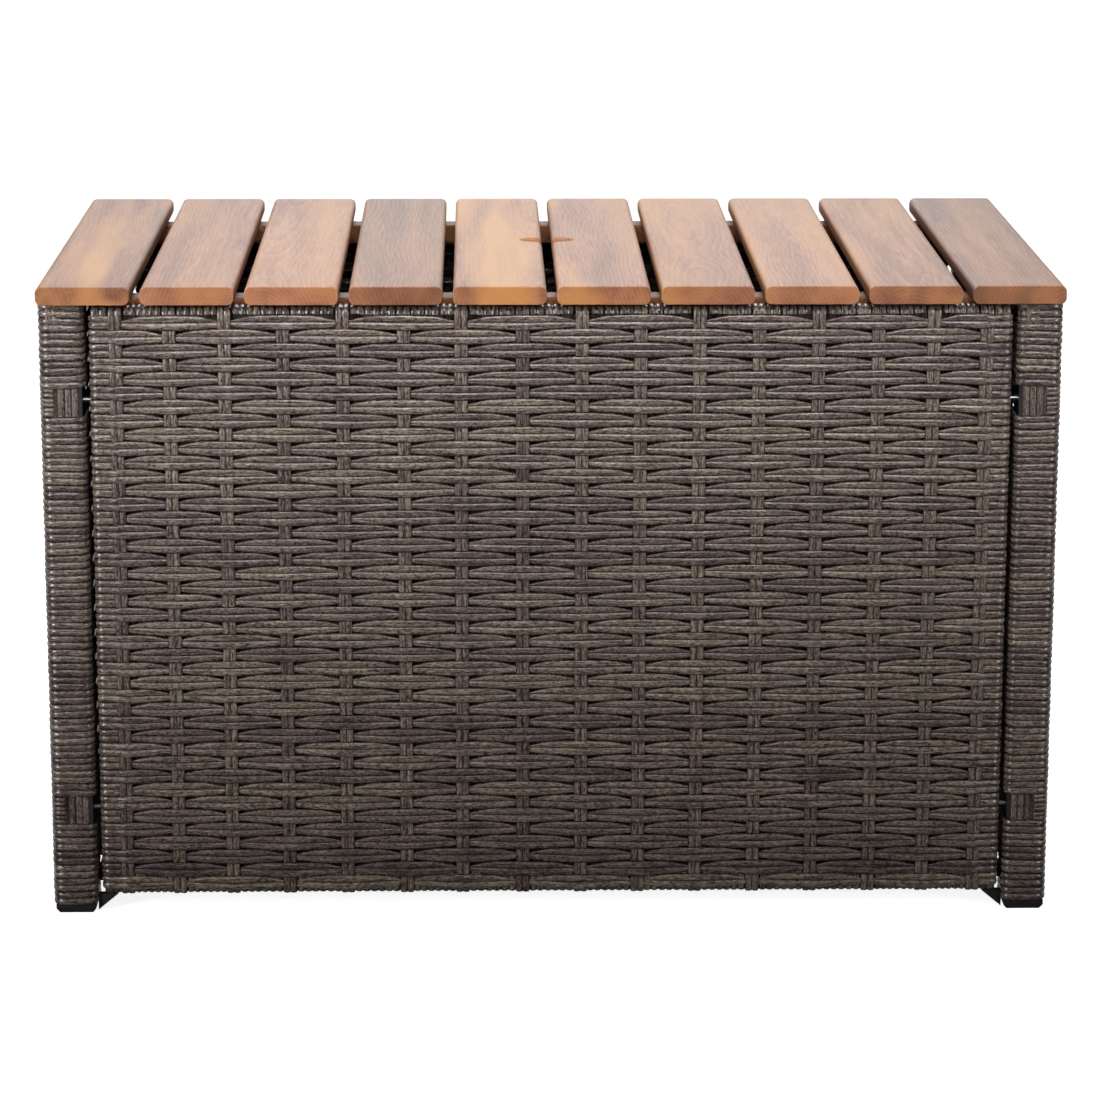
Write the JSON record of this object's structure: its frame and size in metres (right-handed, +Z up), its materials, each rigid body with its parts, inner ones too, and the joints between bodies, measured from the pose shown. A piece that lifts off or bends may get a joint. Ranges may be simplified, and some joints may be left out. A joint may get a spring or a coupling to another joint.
{
  "type": "deck storage box",
  "caption": "Free-standing outdoor storage box with woven panels between four corner posts and a hinged lid of wooden slats with a finger hole.",
  "frame": {"origin": "on the ground under the middle of the box", "axes": "+Z up, +X to the right along the box's length as seen from the front, the front faces -Y; the lid turns up about an axis along X at the top of the back"},
  "size_m": [1, 0.587, 0.64],
  "materials": {
    "woven_rattan": "woven dark brown-grey resin strand, satin",
    "slat_wood": "oiled acacia, satin",
    "batten_wood": "oiled acacia, satin",
    "frame_steel": "black powder coat, semi-gloss",
    "zinc_steel": "bright zinc plate",
    "foot_plastic": "moulded black plastic, fine grain"
  },
  "bodies": {
    "box": {"leg_tube_front_left": "frame_steel", "leg_wrap_front_left": "woven_rattan", "leg_foot_front_left": "foot_plastic", "corner_gusset_front_left": "frame_steel", "panel_bolt_front_left_lower": "zinc_steel", "panel_bolt_front_left_upper": "zinc_steel", "leg_tube_front_right": "frame_steel", "leg_wrap_front_right": "woven_rattan", "leg_foot_front_right": "foot_plastic", "corner_gusset_front_right": "frame_steel", "panel_bolt_front_right_lower": "zinc_steel", "panel_bolt_front_right_upper": "zinc_steel", "leg_tube_back_left": "frame_steel", "leg_wrap_back_left": "woven_rattan", "leg_foot_back_left": "foot_plastic", "corner_gusset_back_left": "frame_steel", "panel_bolt_back_left_lower": "zinc_steel", "panel_bolt_back_left_upper": "zinc_steel", "leg_tube_back_right": "frame_steel", "leg_wrap_back_right": "woven_rattan", "leg_foot_back_right": "foot_plastic", "corner_gusset_back_right": "frame_steel", "panel_bolt_back_right_lower": "zinc_steel", "panel_bolt_back_right_upper": "zinc_steel", "front_frame": "frame_steel", "front_weave": "woven_rattan", "back_frame": "frame_steel", "back_weave": "woven_rattan", "left_frame": "frame_steel", "left_weave": "woven_rattan", "right_frame": "frame_steel", "right_weave": "woven_rattan", "floor_frame": "frame_steel", "floor_weave": "woven_rattan", "hinge_body_leaf_left": "zinc_steel", "hinge_pin_left": "zinc_steel", "stay_side_bracket_left": "zinc_steel", "hinge_body_leaf_right": "zinc_steel", "hinge_pin_right": "zinc_steel", "stay_side_bracket_right": "zinc_steel"},
    "lid": {"hinge_lid_leaf_left": "zinc_steel", "stay_lid_bracket_left": "zinc_steel", "stay_rivet_left": "zinc_steel", "hinge_lid_leaf_right": "zinc_steel", "stay_lid_bracket_right": "zinc_steel", "stay_rivet_right": "zinc_steel", "slat_01": "slat_wood", "slat_02": "slat_wood", "slat_03": "slat_wood", "slat_04": "slat_wood", "slat_05": "slat_wood", "slat_06": "slat_wood", "slat_07": "slat_wood", "slat_08": "slat_wood", "slat_09": "slat_wood", "slat_10": "slat_wood", "lid_batten_front": "batten_wood", "lid_batten_back": "batten_wood"},
    "stay_left": {"stay_bar_left": "zinc_steel"},
    "stay_right": {"stay_bar_right": "zinc_steel"}
  },
  "joints": [
    {"name": "lid_hinge", "type": "hinge", "parent": "box", "child": "lid", "pos_m": [0, 0.286, 0.6175], "axis": [-1, 0, 0], "range_deg": [0, 80]},
    {"name": "stay_left_swing", "type": "hinge", "parent": "lid", "child": "stay_left", "pos_m": [-0.45775, 0.11617, 0.61], "axis": [-1, 0, 0], "range_deg": [-40, 0]},
    {"name": "stay_right_swing", "type": "hinge", "parent": "lid", "child": "stay_right", "pos_m": [0.45775, 0.11617, 0.61], "axis": [-1, 0, 0], "range_deg": [-40, 0]}
  ],
  "couplings": [
    {"joint": "stay_left_swing", "follows": "lid_hinge", "ratio": -0.5},
    {"joint": "stay_right_swing", "follows": "lid_hinge", "ratio": -0.5}
  ]
}
